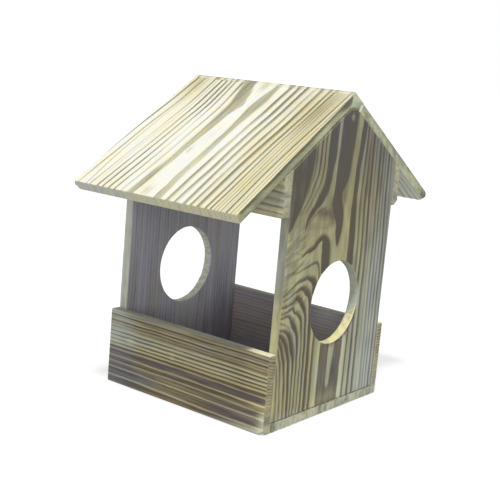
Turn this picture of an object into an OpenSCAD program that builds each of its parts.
// Bird nest box of scorched and brushed pine boards: two gables with round entrances stand on a
// floor, low rails and short headers close the open front and back, and a two-slope roof covers it.
// X runs along the ridge, Y from front to back and Z up. The origin is at the centre of the
// footprint, on the surface that the box stands on.

/* [Box] */
// Length over the two gables, and of every board that runs along the ridge
box_len = 200; // [160:1:260]
// Width of the gable boards from front to back
gable_w = 175; // [140:1:220]
// Height of the walls' upright edges above the ground
wall_h = 243.5; // [225:0.5:300]
// Slope of both roof boards in degrees
pitch = 32.5; // [25:0.5:45]

/* [Boards] */
// Thickness of the floor board
floor_t = 10; // [8:0.5:14]
// Thickness of each gable board
gable_t = 10; // [8:0.5:14]
// Thickness of the front rail
front_rail_t = 11; // [8:0.5:14]
// Thickness of the back rail
back_rail_t = 9; // [8:0.5:14]
// Thickness of the two headers under the roof
header_t = 11; // [8:0.5:14]
// Thickness of the roof boards
roof_t = 10.5; // [8:0.5:14]
// Radius that wear and brushing leave along the boards' long edges
ease_r = 1.2; // [0.5:0.1:2]

/* [Openings] */
// Height of the low rail across the front
front_rail_h = 76; // [60:1:95]
// Height of the low rail across the back
back_rail_h = 77; // [60:1:95]
// Height of the lower edge of the headers above the ground
header_z = 200; // [180:1:212]
// Bevel along the outer lower edge of the back header
header_bevel = 6; // [2:0.5:8]
// Diameter of the round entrance in each gable
hole_d = 80; // [50:1:84]
// Height of the entrance's centre above the ground
hole_z = 112; // [100:1:125]

/* [Roof] */
// How far the roof's ends stand back from the outer faces of the gables
roof_setback = 1; // [0:0.5:2.5]
// Level distance from the ridge to the front eave
front_reach = 162; // [140:1:185]
// Level distance from the ridge to the back eave
back_reach = 162; // [140:1:185]
// Width of the ridge strip's foot, measured level
strip_w = 12.6; // [10:0.1:18]
// How far the ridge strip's foot reaches to the front of the ridge
strip_front = 4; // [3:0.1:8]
// Thickness of the lip that closes the ridge joint on top
lip_t = 2; // [1.5:0.1:3]
// Width of the glued joint between the ridge strip and the back roof board
joint_w = 3.5; // [1:0.1:5]

/* [Nails] */
// Diameter of a nail's shank
nail_d = 1.6; // [1:0.1:2]
// Length of a nail, head included
nail_len = 30; // [20:1:36]
// Diameter of a nail's head
head_d = 2.4; // [2:0.1:3]
// Thickness of a nail's head
head_t = 0.8; // [0.5:0.1:1.2]
// Height of the rails' lower nails above the floor board
rail_nail_up = 14; // [8:1:30]
// Distance of the rails' upper nails below the top of the rail
rail_nail_down = 16; // [6:1:24]
// Height of the headers' lower nails above the lower edge of the header
header_nail_up = 10; // [5:1:14]
// Distance of the headers' upper nails below the top of the wall
header_nail_down = 14; // [6:1:20]
// Distance of the floor's outer nails from the long edges of the floor board
floor_nail_in = 27; // [24:1:45]
// Depth to which a nail's head is driven below the wood
nail_set = 0.5; // [0.2:0.1:1]
// Clearance all round a nail in its hole
nail_gap = 0.05; // [0.02:0.01:0.1]
// Clearance round the glue bead in the ridge joint
glue_gap = 0.1; // [0.05:0.05:0.2]

/* [Hidden] */
$fn = 48;

half_w = gable_w / 2;
half_len = box_len / 2;
roof_len = box_len - 2 * roof_setback;
// Where the two undersides of the roof would meet, and the sharp top of the ridge
apex_z = wall_h + half_w * tan(pitch);
ridge_z = apex_z + roof_t / cos(pitch);
// Middle of a gable's thickness, where every nail enters it
gable_x = half_len - gable_t / 2;
// Foot of the ridge strip: its back corner lies on the back slope's underside
strip_back = strip_w - strip_front;
strip_z = apex_z - strip_back * tan(pitch);
// The back roof board starts this far down the slope from the sharp ridge line of its underside
back_start = strip_back / cos(pitch) + joint_w;
// Larger than the box in every direction, for the cutting blocks
big = 2 * (box_len + gable_w + wall_h);
// Slack by which a cutting tool passes a face
over = 1;

// Heights and places of the nails, worked out from the boards that they join
rail_nail_z = [floor_t + rail_nail_up, front_rail_h - rail_nail_down];
back_nail_z = [floor_t + rail_nail_up, back_rail_h - rail_nail_down];
header_nail_z = [header_z + header_nail_up, wall_h - header_nail_down];
floor_nail_y = [for (k = [-1 : 1]) k * (half_w - floor_nail_in)];
edge_nail_x = [for (k = [-1, 1]) k * box_len / 4];
slope_len = half_w / cos(pitch);
roof_nail_s = [for (k = [0 : 2]) slope_len * (0.32 + 0.28 * k)];

// A board's cross-section with its four corners worn round
module eased(w, t, r) {
    square([w - 2 * r, t], center = true);
    square([w, t - 2 * r], center = true);
    for (i = [-1, 1], j = [-1, 1])
        translate([i * (w / 2 - r), j * (t / 2 - r)]) circle(r);
}

// A board along X with its centre line at y, z: t thick in Y and h high in Z
module board_x(len, y, z, t, h) {
    translate([-len / 2, y, z]) rotate([90, 0, 90])
        linear_extrude(len) eased(t, h, ease_r);
}

// Everything above the underside of one roof slope: side is -1 for the front and 1 for the back
module above_slope(side, lift = 0) {
    translate([0, 0, apex_z]) rotate([-side * pitch, 0, 0])
        translate([-big / 2, side > 0 ? -big / 4 : -big * 3 / 4, lift]) cube([big, big, big]);
}

// A roof board's blank, lying on its slope; its eave end is square and its upper corner is at reach
module roof_blank(side, from, reach) {
    len = (reach - roof_t * sin(pitch)) / cos(pitch) - from;
    translate([0, 0, apex_z]) rotate([-side * pitch, 0, 0])
        translate([0, side * from, roof_t / 2]) rotate([-side * 90, 0, 0])
            linear_extrude(len) eased(roof_len, roof_t, ease_r);
}

// One nail along +Z from the face of the wood, its head set below that face
module nail() {
    translate([0, 0, nail_set]) {
        cylinder(h = head_t, d = head_d);
        translate([0, 0, head_t - over / 2]) cylinder(h = nail_len - head_t + over / 2, d = nail_d);
    }
}

// The hole that such a nail leaves
module nail_hole() {
    translate([0, 0, -over]) cylinder(h = over + nail_set + head_t + nail_gap, d = head_d + 2 * nail_gap);
    cylinder(h = nail_set + nail_len + nail_gap, d = nail_d + 2 * nail_gap);
}

// Nails through a board on the front (side -1) or back (side 1) into the gables' edges
module into_gables(side, t, heights) {
    for (x = [-gable_x, gable_x], z = heights)
        translate([x, side * (half_w + t), z]) rotate([side * 90, 0, 0]) children();
}

// Nails through a rail into the edge of the floor
module into_floor_edge(side, t) {
    for (x = edge_nail_x)
        translate([x, side * (half_w + t), floor_t / 2]) rotate([side * 90, 0, 0]) children();
}

module front_rail_places() {
    into_gables(-1, front_rail_t, rail_nail_z) children();
    into_floor_edge(-1, front_rail_t) children();
}

module back_rail_places() {
    into_gables(1, back_rail_t, back_nail_z) children();
    into_floor_edge(1, back_rail_t) children();
}

module front_header_places() {
    into_gables(-1, header_t, header_nail_z) children();
}

module back_header_places() {
    into_gables(1, header_t, header_nail_z) children();
}

// Nails up through the floor into the feet of the gables
module floor_places() {
    for (x = [-gable_x, gable_x], y = floor_nail_y) translate([x, y, 0]) children();
}

// Nails square through a roof board into the gables' sloping edges
module roof_places(side) {
    for (x = [-gable_x, gable_x], s = roof_nail_s)
        translate([0, 0, apex_z]) rotate([-side * pitch, 0, 0])
            translate([x, side * s, roof_t]) rotate([180, 0, 0]) children();
}

// Nails down through the ridge strip into the tips of the gables
module ridge_places() {
    y = strip_w / 2 - strip_front;
    for (x = [-gable_x, gable_x])
        translate([x, y, ridge_z - y * tan(pitch)]) rotate([180, 0, 0]) children();
}

module floor_board() {
    color("tan") difference() {
        board_x(box_len, 0, floor_t / 2, gable_w, floor_t);
        floor_places() nail_hole();
        into_floor_edge(-1, front_rail_t) nail_hole();
        into_floor_edge(1, back_rail_t) nail_hole();
    }
}

// Gable board with upright grain: side is -1 on the left and 1 on the right
module gable(side) {
    difference() {
        translate([side * gable_x, 0, floor_t]) linear_extrude(apex_z - floor_t)
            eased(gable_t, gable_w, ease_r);
        above_slope(-1);
        above_slope(1);
        translate([-big / 2, -strip_front, strip_z]) cube([big, strip_w, big]);
        translate([side * gable_x, 0, hole_z]) rotate([0, 90, 0])
            cylinder(h = gable_t + 2 * over, d = hole_d, center = true, $fn = 96);
        floor_places() nail_hole();
        front_rail_places() nail_hole();
        back_rail_places() nail_hole();
        front_header_places() nail_hole();
        back_header_places() nail_hole();
        roof_places(-1) nail_hole();
        roof_places(1) nail_hole();
        ridge_places() nail_hole();
    }
}

module gable_left() { color("dimgray") gable(-1); }

module gable_right() { color("darkkhaki") gable(1); }

module front_rail() {
    color("khaki") difference() {
        board_x(box_len, -half_w - front_rail_t / 2, front_rail_h / 2, front_rail_t, front_rail_h);
        front_rail_places() nail_hole();
    }
}

module back_rail() {
    color("khaki") difference() {
        board_x(box_len, half_w + back_rail_t / 2, back_rail_h / 2, back_rail_t, back_rail_h);
        back_rail_places() nail_hole();
    }
}

// Header with its upper edge planed to the slope of the roof
module header(side) {
    h = apex_z - header_z;
    difference() {
        board_x(box_len, side * (half_w + header_t / 2), header_z + h / 2, header_t, h);
        above_slope(side);
    }
}

module front_header() {
    color("darkkhaki") difference() {
        header(-1);
        front_header_places() nail_hole();
    }
}

module back_header() {
    color("darkkhaki") difference() {
        header(1);
        translate([0, half_w + header_t, header_z]) rotate([45, 0, 0])
            cube([2 * box_len, header_bevel * sqrt(2), header_bevel * sqrt(2)], center = true);
        back_header_places() nail_hole();
    }
}

// Front roof board: its top end is cut upright and stands against the ridge strip
module roof_front() {
    color("cornsilk") difference() {
        roof_blank(-1, 0, front_reach);
        translate([-big / 2, -strip_front, 0]) cube([big, big, big]);
        roof_places(-1) nail_hole();
    }
}

// Back roof board: its top end is cut square and faces the glued joint
module roof_back() {
    color("cornsilk") difference() {
        roof_blank(1, back_start, back_reach);
        roof_places(1) nail_hole();
    }
}

// Strip along the ridge: planed to both slopes on top, with a lip over the glued joint at the back
module ridge_strip() {
    color("burlywood") difference() {
        translate([-roof_len / 2, -strip_front, strip_z]) cube([roof_len, big / 4, big / 4]);
        above_slope(-1, roof_t);
        above_slope(1, roof_t);
        // the side that faces the joint, below the lip
        translate([0, 0, apex_z]) rotate([-pitch, 0, 0])
            translate([-big / 2, strip_back / cos(pitch), -big]) cube([big, big, big + roof_t - lip_t]);
        // the edge of the lip
        translate([0, 0, apex_z]) rotate([-pitch, 0, 0])
            translate([-big / 2, back_start - glue_gap, -big]) cube([big, big, 2 * big]);
        ridge_places() nail_hole();
    }
}

// Bead of pale glue that fills the joint below the lip
module ridge_glue() {
    color("white") translate([0, 0, apex_z]) rotate([-pitch, 0, 0])
        translate([-roof_len / 2 + glue_gap, strip_back / cos(pitch) + glue_gap, glue_gap])
            cube([roof_len - 2 * glue_gap, joint_w - 2 * glue_gap, roof_t - lip_t - 2 * glue_gap]);
}

module floor_nails() { color("silver") floor_places() nail(); }

module front_rail_nails() { color("silver") front_rail_places() nail(); }

module back_rail_nails() { color("silver") back_rail_places() nail(); }

module front_header_nails() { color("silver") front_header_places() nail(); }

module back_header_nails() { color("silver") back_header_places() nail(); }

module roof_front_nails() { color("silver") roof_places(-1) nail(); }

module roof_back_nails() { color("silver") roof_places(1) nail(); }

module ridge_nails() { color("silver") ridge_places() nail(); }

floor_board();
gable_left();
gable_right();
front_rail();
back_rail();
front_header();
back_header();
roof_front();
roof_back();
ridge_strip();
ridge_glue();
floor_nails();
front_rail_nails();
back_rail_nails();
front_header_nails();
back_header_nails();
roof_front_nails();
roof_back_nails();
ridge_nails();
